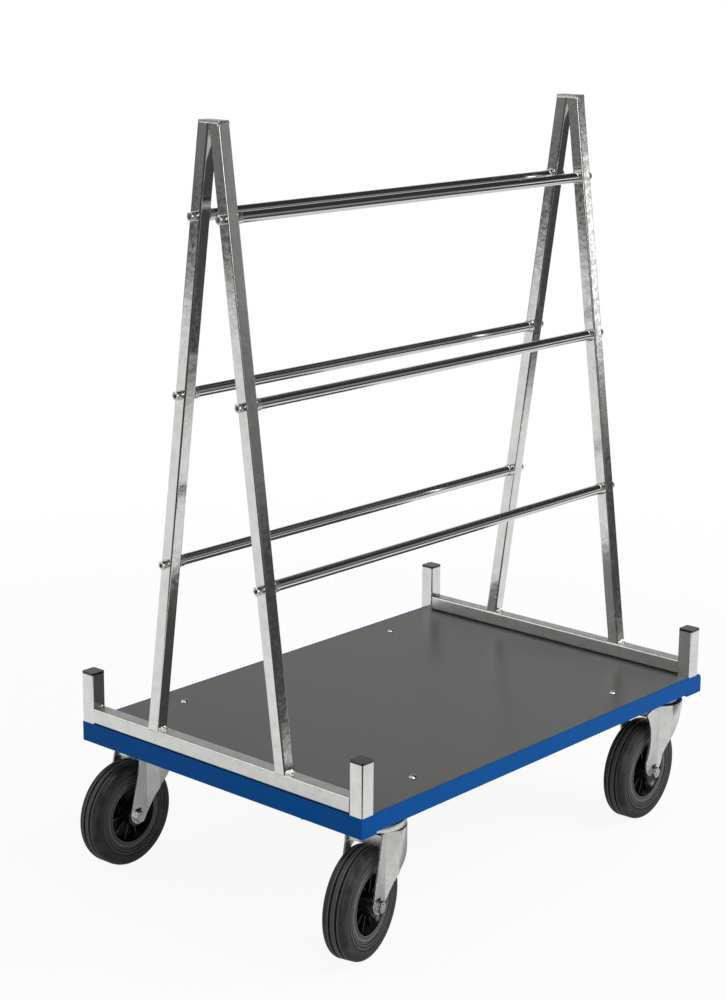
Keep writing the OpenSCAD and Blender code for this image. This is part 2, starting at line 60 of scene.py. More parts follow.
MM = 0.001
NODES = frame["nodes"]
JOINTS = {joint["name"]: joint for joint in frame["joints"]}
CASTERS = ("front_left", "rear_left", "front_right", "rear_right")
ENDS = ("left", "right")
SIDES = ("front", "rear")
RAILS = tuple(f"{side}_{level}_rail" for side in SIDES for level in ("low", "mid", "top"))
LEGS = tuple(f"{end}_{side}_leg" for end in ENDS for side in SIDES)
POSTS = tuple(f"{end}_{side}_post" for end in ENDS for side in SIDES)


def linear(code):
    """sRGB hex colour as linear red, green and blue."""
    parts = [int(code[i:i + 2], 16) / 255 for i in (1, 3, 5)]
    return [p / 12.92 if p <= 0.04045 else ((p + 0.055) / 1.055) ** 2.4 for p in parts]


def colour(name, description, code):
    """Colour property whose default is an sRGB hex value."""
    return FloatVectorProperty(
        name=name, description=description, default=linear(code), min=0, max=1, size=3, subtype="COLOR")


def size(name, description, mm):
    """Length property whose default is in millimetres."""
    return FloatProperty(
        name=name, description=description, default=mm * MM, min=0, precision=5, unit="LENGTH")


def angle(name, description, degrees):
    """Angle property whose default is in degrees."""
    return FloatProperty(
        name=name, description=description, default=math.radians(degrees), precision=4, unit="ROTATION")


def fraction(name, description, value):
    """Property from 0 to 1."""
    return FloatProperty(
        name=name, description=description, default=value, min=0, max=1, precision=3, subtype="FACTOR")


class CartFinishes(bpy.types.PropertyGroup):
    """Colours of the cart's surfaces."""

    blue: colour("Frame blue", "Powder coat of the base frame", "#00539E")
    deck: colour("Deck grey", "Pressed film on the deck board", "#565755")
    zinc: colour("Zinc", "Plating of the square tubes and the casters", "#D3D4D1")
    zinc_cloud: colour("Zinc cloud", "Duller clouds in the plating", "#C8C9C7")
    rail: colour("Rail tube", "Bright drawn rail tube", "#D2D3D2")
    weld: colour("Weld", "Plated weld beads", "#ECECE8")
    steel: colour("Plain steel", "Kingpins, races and plugs", "#A5A5A1")
    cap: colour("Cap plastic", "Moulded post caps", "#0A0A0A")
    wheel: colour("Wheel plastic", "Moulded wheel centres", "#121212")
    # Painted highlight: the rim faces are the wheels' black plastic painted a lighter grey, for the light
    # they catch
    rim: colour("Rim face", "Faces of the wheel rims", "#454543")
    # Painted highlight: the pale colour painted on the wheel centres' sharp edges, for the light they catch
    edge_highlight: colour("Scuffs", "Pale scuffs on the wheels' raised edges", "#A2A29E")
    tyre: colour("Tyre rubber", "Black tyre rubber", "#272726")
    # Pale bloom in patches on the tyres, also painted on their sharp edges as a highlight
    bloom_and_edge_highlight: colour("Rubber bloom", "Pale bloom on the tyres and their worn edges", "#686865")
    floor: colour("Floor", "White studio floor", "#F2F2F2")


class CartSizes(bpy.types.PropertyGroup):
    """Sizes of what is added to the solids."""

    sheet_edge: size("Sheet edge", "Rounding of the edges of folded sheet", 0.6)
    plate_edge: size("Plate edge", "Rounding of the edges of plates and forks", 0.5)
    top_edge: size("Top plate edge", "Rounding of the edges of the top plates", 1.7)
    cap_edge: size("Cap edge", "Rounding of the edges of the post caps", 1.0)
    plastic_edge: size("Moulded edge", "Rounding of the wheel centres' edges", 0.7)
    bead: size("Weld bead", "Radius of the beads at the legs' feet", 4.6)
    tack: size("Weld tack", "Radius of the short tacks at the posts", 2.6)
    seam: size("Weld seam", "Radius of the seams under the top plates", 0.7)
    collar: size("Rail collar", "Length of the welded collars at the rails' ends", 13)
    rim_lip: size("Rim lip", "Height of the raised lips inside the wheel rims' faces", 1.3)
    rim_gap: size("Rim gap", "Width of the dark gap between a rim's face and its tyre", 2.4)
    ripple: size("Weld ripple", "Pitch of the ripples along a bead", 3.4)
    step: size("Sidewall step", "Height of the steps on the tyres' sidewalls", 1.4)
    groove_w: size("Tread groove", "Width of a tread groove", 4.5)
    groove_d: size("Tread groove depth", "Depth of a tread groove", 4.5)
    mid_rib: size("Middle rib", "Width of the rib between the grooves", 8)
    shoulder: size("Tyre shoulder", "Radius of the tyres' shoulders", 11)
    lathe_steps: IntProperty(
        name="Lathe steps", description="Steps round a tyre and round a rim", default=144, min=48)


class CartStage(bpy.types.PropertyGroup):
    """Camera, lamps and floor."""

    eye: FloatVectorProperty(
        name="Camera place", description="Place of the camera", default=(-2.9833, -2.5577, 1.6783),
        size=3, subtype="TRANSLATION", unit="LENGTH")
    yaw: angle("Camera yaw", "Direction of view from +X towards +Y", 41.518)
    pitch: angle("Camera pitch", "Direction of view below the horizon", 14.297)
    roll: angle("Camera roll", "Turn of the picture about the direction of view", 0.473)
    lens: FloatProperty(name="Lens", description="Focal length", default=77.35, unit="CAMERA")
    sky: fraction("Sky", "Strength of the soft light from all round", 0.47)
    key: FloatProperty(name="Key lamp", description="Power of the large lamp", default=210, unit="POWER")
    room: fraction("Room", "Brightness of the room's walls in reflections", 0.22)
    bare: fraction("Bare floor", "Brightness of the bare floor in reflections", 0.07)
    under: fraction("Under cart", "Share of the floor's light under the cart", 0.35)
    ceiling: fraction("Ceiling", "Brightness overhead in reflections", 0.04)
    shadow: fraction("Shadow", "Share of the shadow that the floor shows", 0.08)


def add(tree, kind, settings=None, inputs=None):
    """Adds a shader node with its settings; each input is a socket to link or a value to set."""
    made = tree.nodes.new(kind)
    for key, value in (settings or {}).items():
        setattr(made, key, value)
    for key, value in (inputs or {}).items():
        if isinstance(value, bpy.types.NodeSocket):
            tree.links.new(value, made.inputs[key])
        else:
            made.inputs[key].default_value = value
    return made


def start(name):
    """New empty node material: gives it, its tree and the place on the piece in metres."""
    made = bpy.data.materials.new(name)
    made.use_nodes = True
    tree = made.node_tree
    tree.nodes.clear()
    return made, tree, add(tree, "ShaderNodeTexCoord").outputs["Object"]


def per_metre(mm):
    """Repeats in a metre of a pattern whose features have this size in millimetres."""
    return 1 / (mm * MM)


def shade(value, factor=1.0):
    """Colour property as red, green, blue and alpha, made darker or lighter."""
    return [min(part * factor, 1) for part in value] + [1]


# Sockets of the colour form of the mix node
FACTOR, FIRST, SECOND, MIXED = 0, 6, 7, 2


def blue_powder_coat(colours):
    """Polyester powder coat, baked on steel: an even satin blue with a fine orange peel."""
    made, tree, place = start("blue_powder_coat_satin")
    cloud = add(tree, "ShaderNodeTexNoise", None, {"Vector": place, "Scale": per_metre(120), "Detail": 3})
    tone = add(tree, "ShaderNodeMix", {"data_type": "RGBA"}, {
        FACTOR: cloud.outputs["Fac"], FIRST: shade(colours.blue, 0.93), SECOND: shade(colours.blue, 1.07)})
    peel = add(tree, "ShaderNodeTexNoise", None, {"Vector": place, "Scale": per_metre(2.4), "Detail": 2})
    gloss = add(tree, "ShaderNodeMapRange", None, {
        "Value": peel.outputs["Fac"], "To Min": 0.30, "To Max": 0.42})
    bump = add(tree, "ShaderNodeBump", None, {
        "Height": peel.outputs["Fac"], "Strength": 0.35, "Distance": 0.08 * MM})
    shader = add(tree, "ShaderNodeBsdfPrincipled", None, {
        "Base Color": tone.outputs[MIXED], "Roughness": gloss.outputs["Result"],
        "Specular IOR Level": 0.05, "Normal": bump.outputs["Normal"]})
    add(tree, "ShaderNodeOutputMaterial", None, {"Surface": shader.outputs["BSDF"]})
    return made


def zinc_plate(name, colours, stretch, gloss, pressed=False):
    """Bright zinc on drawn or pressed steel: pale metal whose faint waves and clouds mottle reflections."""
    made, tree, place = start(name)
    drawn = add(tree, "ShaderNodeMapping", None, {"Vector": place, "Scale": stretch})
    cloud = add(tree, "ShaderNodeTexNoise", None, {"Vector": place, "Scale": per_metre(24), "Detail": 4})
    clear = add(tree, "ShaderNodeMapRange", None, {
        "Value": cloud.outputs["Fac"], "From Min": 0.3, "From Max": 0.6})
    tone = add(tree, "ShaderNodeMix", {"data_type": "RGBA"}, {
        FACTOR: clear.outputs["Result"], FIRST: shade(colours.zinc_cloud), SECOND: shade(colours.zinc)})
    # Draw marks too fine to show are drawn as coarse as this
    marks = add(tree, "ShaderNodeTexNoise", None, {
        "Vector": drawn.outputs["Vector"], "Scale": per_metre(1.6), "Detail": 3})
    spangle = add(tree, "ShaderNodeTexNoise", None, {
        "Vector": place, "Scale": per_metre(9), "Detail": 4, "Roughness": 0.65})
    dull = add(tree, "ShaderNodeMapRange", None, {
        "Value": spangle.outputs["Fac"], "From Min": 0.36, "From Max": 0.64,
        "To Min": gloss[0], "To Max": gloss[1]})
    waves = add(tree, "ShaderNodeTexNoise", None, {
        "Vector": drawn.outputs["Vector"] if pressed else place, "Scale": per_metre(15), "Detail": 3})
    wavy = add(tree, "ShaderNodeBump", None, {
        "Height": waves.outputs["Fac"], "Strength": 0.5, "Distance": 0.35 * MM})
    bump = add(tree, "ShaderNodeBump", None, {
        "Height": marks.outputs["Fac"], "Strength": 0.1, "Distance": 0.03 * MM,
        "Normal": wavy.outputs["Normal"]})
    shader = add(tree, "ShaderNodeBsdfPrincipled", None, {
        "Base Color": tone.outputs[MIXED], "Metallic": 1.0, "Roughness": dull.outputs["Result"],
        "Normal": bump.outputs["Normal"]})
    add(tree, "ShaderNodeOutputMaterial", None, {"Surface": shader.outputs["BSDF"]})
    return made


def bright_rail_tube(colours):
    """Bright drawn tube, plated smooth: mirror streaks along the rail and hair-fine draw lines."""
    made, tree, place = start("bright_zinc_drawn_tube")
    drawn = add(tree, "ShaderNodeMapping", None, {"Vector": place, "Scale": (0.02, 1, 1)})
    # Draw lines too fine to show are drawn as coarse as this
    lines = add(tree, "ShaderNodeTexNoise", None, {
        "Vector": drawn.outputs["Vector"], "Scale": per_metre(0.9), "Detail": 2})
    cloud = add(tree, "ShaderNodeTexNoise", None, {"Vector": place, "Scale": per_metre(30), "Detail": 4})
    tone = add(tree, "ShaderNodeMix", {"data_type": "RGBA"}, {
        FACTOR: cloud.outputs["Fac"], FIRST: shade(colours.rail, 0.86), SECOND: shade(colours.rail)})
    gloss = add(tree, "ShaderNodeMapRange", None, {
        "Value": lines.outputs["Fac"], "To Min": 0.06, "To Max": 0.11})
    bump = add(tree, "ShaderNodeBump", None, {
        "Height": lines.outputs["Fac"], "Strength": 0.05, "Distance": 0.01 * MM})
    shader = add(tree, "ShaderNodeBsdfPrincipled", None, {
        "Base Color": tone.outputs[MIXED], "Metallic": 1.0, "Roughness": gloss.outputs["Result"],
        "Normal": bump.outputs["Normal"]})
    add(tree, "ShaderNodeOutputMaterial", None, {"Surface": shader.outputs["BSDF"]})
    return made


def deck_film(colours):
    """Phenolic film pressed on plywood: dark warm grey, satin, with a faint press grain and scuffs."""
    made, tree, place = start("grey_phenolic_film_pressed")
    # Press grain too fine to show is drawn as coarse as this
    grain = add(tree, "ShaderNodeTexNoise", None, {"Vector": place, "Scale": per_metre(1.2), "Detail": 3})
    cloud = add(tree, "ShaderNodeTexNoise", None, {"Vector": place, "Scale": per_metre(140), "Detail": 4})
    tone = add(tree, "ShaderNodeMix", {"data_type": "RGBA"}, {
        FACTOR: cloud.outputs["Fac"], FIRST: shade(colours.deck, 0.92), SECOND: shade(colours.deck, 1.08)})
    gloss = add(tree, "ShaderNodeMapRange", None, {
        "Value": cloud.outputs["Fac"], "To Min": 0.26, "To Max": 0.34})
    bump = add(tree, "ShaderNodeBump", None, {
        "Height": grain.outputs["Fac"], "Strength": 0.06, "Distance": 0.03 * MM})
    shader = add(tree, "ShaderNodeBsdfPrincipled", None, {
        "Base Color": tone.outputs[MIXED], "Roughness": gloss.outputs["Result"],
        "Specular IOR Level": 0.27, "Normal": bump.outputs["Normal"]})
    add(tree, "ShaderNodeOutputMaterial", None, {"Surface": shader.outputs["BSDF"]})
    return made


def moulded_plastic(name, value, edge_highlight, roughness):
    """Moulded black plastic: deep black with a soft sheen, a fine spark grain and a painted highlight on
    its sharp edges.
    """
    made, tree, place = start(name)
    # Spark grain too fine to show is drawn as coarse as this
    grain = add(tree, "ShaderNodeTexNoise", None, {"Vector": place, "Scale": per_metre(0.8), "Detail": 2})
    tone = add(tree, "ShaderNodeMix", {"data_type": "RGBA"}, {
        FACTOR: grain.outputs["Fac"], FIRST: shade(value, 0.8), SECOND: shade(value, 1.2)})
    # Painted highlight: sharp edges, found by how pointed the surface is, are painted in the pale highlight
    # colour
    bend = add(tree, "ShaderNodeNewGeometry").outputs["Pointiness"]
    edges = add(tree, "ShaderNodeMapRange", None, {"Value": bend, "From Min": 0.53, "From Max": 0.62})
    lightened = add(tree, "ShaderNodeMix", {"data_type": "RGBA"}, {
        FACTOR: edges.outputs["Result"], FIRST: tone.outputs[MIXED], SECOND: edge_highlight})
    gloss = add(tree, "ShaderNodeMapRange", None, {
        "Value": grain.outputs["Fac"], "To Min": roughness - 0.06, "To Max": roughness + 0.06})
    bump = add(tree, "ShaderNodeBump", None, {
        "Height": grain.outputs["Fac"], "Strength": 0.2, "Distance": 0.04 * MM})
    shader = add(tree, "ShaderNodeBsdfPrincipled", None, {
        "Base Color": lightened.outputs[MIXED], "Roughness": gloss.outputs["Result"],
        "Specular IOR Level": 0.5, "Normal": bump.outputs["Normal"]})
    add(tree, "ShaderNodeOutputMaterial", None, {"Surface": shader.outputs["BSDF"]})
    return made


def tyre_rubber(colours):
    """Vulcanised rubber from a mould: matt black, pale bloom in patches, a painted highlight on its sharp
    edges, and a pitted skin.
    """
    made, tree, place = start("black_rubber_moulded")
    patch = add(tree, "ShaderNodeTexNoise", None, {"Vector": place, "Scale": per_metre(26), "Detail": 5})
    bloom = add(tree, "ShaderNodeMapRange", None, {
        "Value": patch.outputs["Fac"], "From Min": 0.4, "From Max": 0.9, "To Max": 0.5})
    # Painted highlight: sharp edges, found by how pointed the surface is, are painted in the pale bloom
    # colour
    bend = add(tree, "ShaderNodeNewGeometry").outputs["Pointiness"]
    edges = add(tree, "ShaderNodeMapRange", None, {"Value": bend, "From Min": 0.521, "From Max": 0.552})
    lightened = add(tree, "ShaderNodeMath", {"operation": "MAXIMUM"}, {
        0: bloom.outputs["Result"], 1: edges.outputs["Result"]})
    tone = add(tree, "ShaderNodeMix", {"data_type": "RGBA"}, {
        FACTOR: lightened.outputs["Value"], FIRST: shade(colours.tyre), SECOND: shade(colours.bloom_and_edge_highlight)})
    # Pits too fine to show are drawn as coarse as this
    skin = add(tree, "ShaderNodeTexNoise", None, {"Vector": place, "Scale": per_metre(1.1), "Detail": 3})
    gloss = add(tree, "ShaderNodeMapRange", None, {
        "Value": patch.outputs["Fac"], "To Min": 0.4, "To Max": 0.6})
    bump = add(tree, "ShaderNodeBump", None, {
        "Height": skin.outputs["Fac"], "Strength": 0.3, "Distance": 0.08 * MM})
    shader = add(tree, "ShaderNodeBsdfPrincipled", None, {
        "Base Color": tone.outputs[MIXED], "Roughness": gloss.outputs["Result"],
        "Specular IOR Level": 0.3, "Normal": bump.outputs["Normal"]})
    add(tree, "ShaderNodeOutputMaterial", None, {"Surface": shader.outputs["BSDF"]})
    return made


def turned_steel(colours):
    """Turned bare steel with a film of grease: grey metal, darker clouds and fine tool marks."""
    made, tree, place = start("plain_steel_turned")
    # Tool marks too fine to show are drawn as coarse as this
    marks = add(tree, "ShaderNodeTexNoise", None, {"Vector": place, "Scale": per_metre(2), "Detail": 4})
    tone = add(tree, "ShaderNodeMix", {"data_type": "RGBA"}, {
        FACTOR: marks.outputs["Fac"], FIRST: shade(colours.steel, 0.6), SECOND: shade(colours.steel)})
    shader = add(tree, "ShaderNodeBsdfPrincipled", None, {
        "Base Color": tone.outputs[MIXED], "Metallic": 1.0, "Roughness": 0.32})
    add(tree, "ShaderNodeOutputMaterial", None, {"Surface": shader.outputs["BSDF"]})
    return made


def weld_metal(colours):
    """Plated weld bead: bright cast metal with spatter pits that break its highlights."""
    made, tree, place = start("zinc_plated_weld")
    pits = add(tree, "ShaderNodeTexNoise", None, {"Vector": place, "Scale": per_metre(1.8), "Detail": 4})
    tone = add(tree, "ShaderNodeMix", {"data_type": "RGBA"}, {
        FACTOR: pits.outputs["Fac"], FIRST: shade(colours.weld, 0.7), SECOND: shade(colours.weld)})
    bump = add(tree, "ShaderNodeBump", None, {
        "Height": pits.outputs["Fac"], "Strength": 0.6, "Distance": 0.4 * MM})
    shader = add(tree, "ShaderNodeBsdfPrincipled", None, {
        "Base Color": tone.outputs[MIXED], "Metallic": 1.0, "Roughness": 0.34,
        "Normal": bump.outputs["Normal"]})
    add(tree, "ShaderNodeOutputMaterial", None, {"Surface": shader.outputs["BSDF"]})
    return made


# Angle from which an edge counts as sharp
SHARP = math.radians(40)
# How near the points are that a solid joins before its edges are rounded, and the facets of an edge
JOIN_WITHIN = 0.01 * MM
EDGE_FACETS = 2


def dress(names, material, edge=0.0):
    """Gives solids a material and, with an edge, rounds their sharp edges where light catches them."""
    for name in names:
        piece = NODES[name]
        piece.data.materials.clear()
        piece.data.materials.append(material)
        if edge:
            piece.modifiers.new("joined", "WELD").merge_threshold = JOIN_WITHIN
            rounded = piece.modifiers.new("rounded", "BEVEL")
            rounded.width = edge
            rounded.segments = EDGE_FACETS
            rounded.limit_method = "ANGLE"
            rounded.angle_limit = SHARP
            rounded.harden_normals = True


def new_piece(name, mesh_data, material, body):
    """Links a new mesh as a piece that rides on a body and has the given material."""
    shape = bpy.data.meshes.new(name)
    mesh_data.to_mesh(shape)
    mesh_data.free()
    shape.materials.append(material)
    shape.shade_smooth()
    shape.set_sharp_from_angle(angle=SHARP)
    piece = bpy.data.objects.new(name, shape)
    bpy.context.scene.collection.objects.link(piece)
    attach(piece, body)
    return piece


# Unevenness of a weld bead: rise of its ripples and of its lumps, as shares of its radius, and the
# size of a lump in radii
RIPPLE_RISE, LUMP_RISE, LUMP_SIZE = 0.16, 0.28, 2.2
# Ends of an open bead: how late they begin to close, and the least that is left of its section
CLOSE_LATE, CLOSE_LEAST = 5, 0.05
# Size in millimetres of the lumps on a rough turned piece
TURNED_LUMP = 7


def sweep_bead(mesh_data, path, radius, upright, ripple, closed=False, around=12):
    """Adds a rippled weld bead along a path; an open bead has round ends."""
    count = len(path)
    rings = []
    run = 0.0
    for i, point in enumerate(path):
        before = path[i - 1] if closed else path[max(i - 1, 0)]
        after = path[(i + 1) % count] if closed else path[min(i + 1, count - 1)]
        along = (after - before).normalized()
        side = along.cross(upright).normalized()
        top = side.cross(along)
        share = i / (count - 1)
        swell = 1.0 if closed else max(1 - abs(2 * share - 1) ** CLOSE_LATE, CLOSE_LEAST) ** 0.5
        swell *= 1 + RIPPLE_RISE * math.sin(2 * math.pi * run / ripple)
        ring = []
        for k in range(around):
            turn = 2 * math.pi * k / around
            arm = side * math.cos(turn) + top * math.sin(turn)
            rough = 1 + LUMP_RISE * noise.noise((point + arm * radius) / (LUMP_SIZE * radius))
            ring.append(mesh_data.verts.new(point + arm * radius * swell * rough))
        rings.append(ring)
        run += (after - point).length
    pairs = list(zip(rings, rings[1:])) + ([(rings[-1], rings[0])] if closed else [])
    for first, second in pairs:
        for k in range(around):
            mesh_data.faces.new((first[k], first[(k + 1) % around], second[(k + 1) % around], second[k]))
    if not closed:
        mesh_data.faces.new(rings[0][::-1])
        mesh_data.faces.new(rings[-1])


def line(begin, end, count):
    """Points along a straight path."""
    return [begin.lerp(end, i / (count - 1)) for i in range(count)]


def lathe(mesh_data, section, centre, axis, steps, closed=True, rough=0.0):
    """Turns a section of distances from an axis and places along it; a rough piece is a little uneven."""
    spokes = []
    for i in range(steps):
        arm = Matrix.Rotation(2 * math.pi * i / steps, 3, axis) @ Vector((0, 0, 1))
        spoke = []
        for away, along in section:
            place = centre + axis * along + arm * away
            lump = noise.noise(place * per_metre(TURNED_LUMP))
            spoke.append(mesh_data.verts.new(place + arm * rough * lump))
        spokes.append(spoke)
    for first, second in zip(spokes, spokes[1:] + spokes[:1]):
        for k in range(len(section) if closed else len(section) - 1):
            after = (k + 1) % len(section)
            mesh_data.faces.new((first[k], first[after], second[after], second[k]))


# Width of a leg at its foot, cut on the slant
LEG_WIDE = 25.2 * MM
# Share of its radius by which a bead sinks into its joint
BEAD_SINK = 0.3
# Where a post's tack begins, as a share of the base tube's width
TACK_START = 0.35
# Radius of the beads at a top plate's inner edge and corner, as a share of a tack's and a foot bead's
PLATE_BEAD = 0.8
# Points along the beads at a foot, a post, each side of a top plate, its inner edge and its corner
FOOT_POINTS, TACK_POINTS, SIDE_POINTS, INNER_POINTS, CORNER_POINTS = 30, 14, 24, 40, 10
# Section of a rail's collar: share of its length and height over the tube in millimetres
COLLAR = ((0.0, -0.5), (0.0, 2.2), (0.06, 2.7), (0.16, 2.6), (0.3, 1.6), (0.5, 1.3), (0.85, 1.2),
          (0.95, 0.9), (1.0, 0.2), (1.0, -0.5))
COLLAR_ROUGH = 0.6 * MM
COLLAR_STEPS = 36


class OBJECT_OT_cart_base_frame(bpy.types.Operator):
    """Paint the folded side, end and cross members blue"""

    bl_idname = "object.cart_base_frame"
    bl_label = "Base frame"

    def execute(self, context):
        members = [f"{side}_side_member" for side in SIDES]
        members += [f"{end}_{kind}_member" for end in ENDS for kind in ("end", "cross")]
        paint = blue_powder_coat(context.scene.cart_finishes)
        dress(members, paint, context.scene.cart_sizes.sheet_edge)
        return {"FINISHED"}


class OBJECT_OT_cart_deck(bpy.types.Operator):
    """Give the deck board its pressed film"""

    bl_idname = "object.cart_deck"
    bl_label = "Deck board"

    def execute(self, context):
        film = deck_film(context.scene.cart_finishes)
        dress(["deck_board"], film)
        return {"FINISHED"}


class OBJECT_OT_cart_a_frames(bpy.types.Operator):
    """Plate the legs, base tubes, posts and top plates"""

    bl_idname = "object.cart_a_frames"
    bl_label = "A-frames"

    def execute(self, context):
        colours = context.scene.cart_finishes
        upright = zinc_plate("zinc_plated_tube_upright", colours, (1, 1, 0.03), (0.08, 0.19))
        level = zinc_plate("zinc_plated_tube_level", colours, (1, 0.03, 1), (0.28, 0.38))
        dress(LEGS + POSTS, upright)
        dress([f"{end}_base_tube" for end in ENDS], level)
        dress([f"{end}_top_plate" for end in ENDS], level, context.scene.cart_sizes.top_edge)
        return {"FINISHED"}


class OBJECT_OT_cart_welds(bpy.types.Operator):
    """Lay weld beads at the legs' feet, the posts and the rails' ends"""

    bl_idname = "object.cart_welds"
    bl_label = "Welds"

    def execute(self, context):
        sizes = context.scene.cart_sizes
        metal = weld_metal(context.scene.cart_finishes)
        up = Vector((0, 0, 1))
        feet, tacks, seams, collars = (bmesh.new() for _ in range(4))
        inset = BEAD_SINK * sizes.bead
        for name in LEGS:
            low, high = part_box(name)
            inward = 1 if "front" in name else -1
            outer = low.y if inward > 0 else high.y
            for y in (outer, outer + inward * LEG_WIDE):
                begin = Vector((low.x + inset, y, low.z + inset))
                end = Vector((high.x - inset, y, low.z + inset))
                sweep_bead(feet, line(begin, end, FOOT_POINTS), sizes.bead, up, sizes.ripple)
        for name in POSTS:
            low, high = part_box(name)
            tube_low, tube_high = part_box(name.split("_")[0] + "_base_tube")
            face = high.y if "front" in name else low.y
            begin = Vector((tube_high.x - TACK_START * (tube_high.x - tube_low.x), face, tube_high.z))
            end = Vector((tube_high.x - sizes.tack, face, tube_high.z))
            sweep_bead(tacks, line(begin, end, TACK_POINTS), sizes.tack, up, sizes.ripple)
        for end in ENDS:
            low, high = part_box(f"{end}_top_plate")
            corners = [Vector((x, y, low.z)) for x, y in (
                (low.x, low.y), (high.x, low.y), (high.x, high.y), (low.x, high.y))]
            loop = []
            for first, second in zip(corners, corners[1:] + corners[:1]):
                loop += line(first, second, SIDE_POINTS)[1:-1]
            sweep_bead(seams, loop, sizes.seam, up, sizes.ripple, closed=True, around=8)
            inner = high.x if end == "left" else low.x
            begin, finish = (Vector((inner, y, low.z - BEAD_SINK * sizes.tack)) for y in (low.y, high.y))
            across = line(begin, finish, INNER_POINTS)
            sweep_bead(seams, across, PLATE_BEAD * sizes.tack, up, sizes.ripple)
            drop = line(corners[0] - up * sizes.bead, corners[0], CORNER_POINTS)
            sweep_bead(seams, drop, PLATE_BEAD * sizes.bead, Vector((1, 0, 0)), sizes.ripple)
        for name in RAILS:
            low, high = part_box(name)
            middle = (low + high) / 2
            radius = (high.z - low.z) / 2
            section = [(radius + rise * MM, share * sizes.collar) for share, rise in COLLAR]
            for x, inward in ((low.x, 1), (high.x, -1)):
                seat = Vector((x, middle.y, middle.z))
                lathe(collars, section, seat, Vector((inward, 0, 0)), COLLAR_STEPS, rough=COLLAR_ROUGH)
        for name, beads in (("leg_foot_welds", feet), ("post_tack_welds", tacks),
                            ("top_plate_welds", seams), ("rail_end_collars", collars)):
            bmesh.ops.recalc_face_normals(beads, faces=beads.faces)
            new_piece(name, beads, metal, "chassis")
        return {"FINISHED"}


class OBJECT_OT_cart_rails(bpy.types.Operator):
    """Give the six rails their bright drawn surface"""

    bl_idname = "object.cart_rails"
    bl_label = "Rails"

    def execute(self, context):
        dress(RAILS, bright_rail_tube(context.scene.cart_finishes))
        return {"FINISHED"}


class OBJECT_OT_cart_fasteners(bpy.types.Operator):
    """Plate the bolts, nuts and bushes"""

    bl_idname = "object.cart_fasteners"
    bl_label = "Fasteners"

    def execute(self, context):
        colours = context.scene.cart_finishes
        plated = zinc_plate("zinc_plated_fasteners", colours, (1, 1, 1), (0.22, 0.34))
        dress(("rail_bolts", "deck_fasteners", "base_spacers", "caster_fasteners"), plated)
        dress(("rail_plugs", "base_fasteners"), turned_steel(colours))
        return {"FINISHED"}


class OBJECT_OT_cart_post_caps(bpy.types.Operator):
    """Finish the black caps on the corner posts"""

    bl_idname = "object.cart_post_caps"
    bl_label = "Post caps"

    def execute(self, context):
        black = context.scene.cart_finishes.cap
        # Painted highlight: the caps' sharp edges are painted three times as light as their black
        plastic = moulded_plastic("black_polyethylene_moulded", black, shade(black, 3), 0.2)
        dress(["post_caps"], plastic, context.scene.cart_sizes.cap_edge)
        return {"FINISHED"}


class OBJECT_OT_cart_casters(bpy.types.Operator):
    """Plate the caster plates, forks and axles, and finish the races and kingpins"""

    bl_idname = "object.cart_casters"
    bl_label = "Casters"

    def execute(self, context):
        colours = context.scene.cart_finishes
        edge = context.scene.cart_sizes.plate_edge
        plated = zinc_plate("zinc_plated_pressed_sheet", colours, (1, 1, 0.2), (0.27, 0.35), pressed=True)
        bare = turned_steel(colours)
        outside = [f"{caster}_{kind}" for caster in CASTERS for kind in ("caster_plate", "fork", "axle")]
        inside = [f"{caster}_{kind}" for caster in CASTERS for kind in ("race", "kingpin")]
        dress(outside, plated, edge)
        dress(inside, bare)
        return {"FINISHED"}


def wheel_place(caster, kind):
    """Centre and axis of a wheel, with a piece's largest and least radius and half its width."""
    joint = JOINTS[f"{caster}_wheel_roll"]
    centre, axis = Vector(joint["pos_m"]), Vector(joint["axis"]).normalized()
    offsets = [vertex.co - centre for vertex in NODES[f"{caster}_{kind}"].data.vertices]
    along = [offset.dot(axis) for offset in offsets]
    away = [(offset - axis * a).length for offset, a in zip(offsets, along)]
    return centre, axis, max(away), min(away), max(along)


# Thickness of a wheel's rim, how far the dish inside it narrows, half the web's thickness and half
# the rim's width
RIM_T = 12 * MM
DISH = 9 * MM
WEB_HALF = 3 * MM
RIM_HALF = 21 * MM
# How far the dish stays below the rim's face, how deep its wall and the lip stand in the rim, and the
# steps of its slope
DISH_BELOW = 1.5 * MM
WALL_IN = 0.2 * MM
LIP_IN = 0.1 * MM
DISH_STEPS = 6
# How far the outer edge of a rim's face leans out, and how deep it goes into the rim
FACE_LEAN = 0.4 * MM
FACE_IN = 0.5 * MM
# Section of the lip inside a rim's face, in shares of its height: from the opening, and over the rim
RIM_LIP = ((0.0, -0.4), (0.0, 0.7), (0.3, 1.0), (0.8, 1.0), (1.2, 0.7), (1.5, 0.25), (1.9, 0.15))


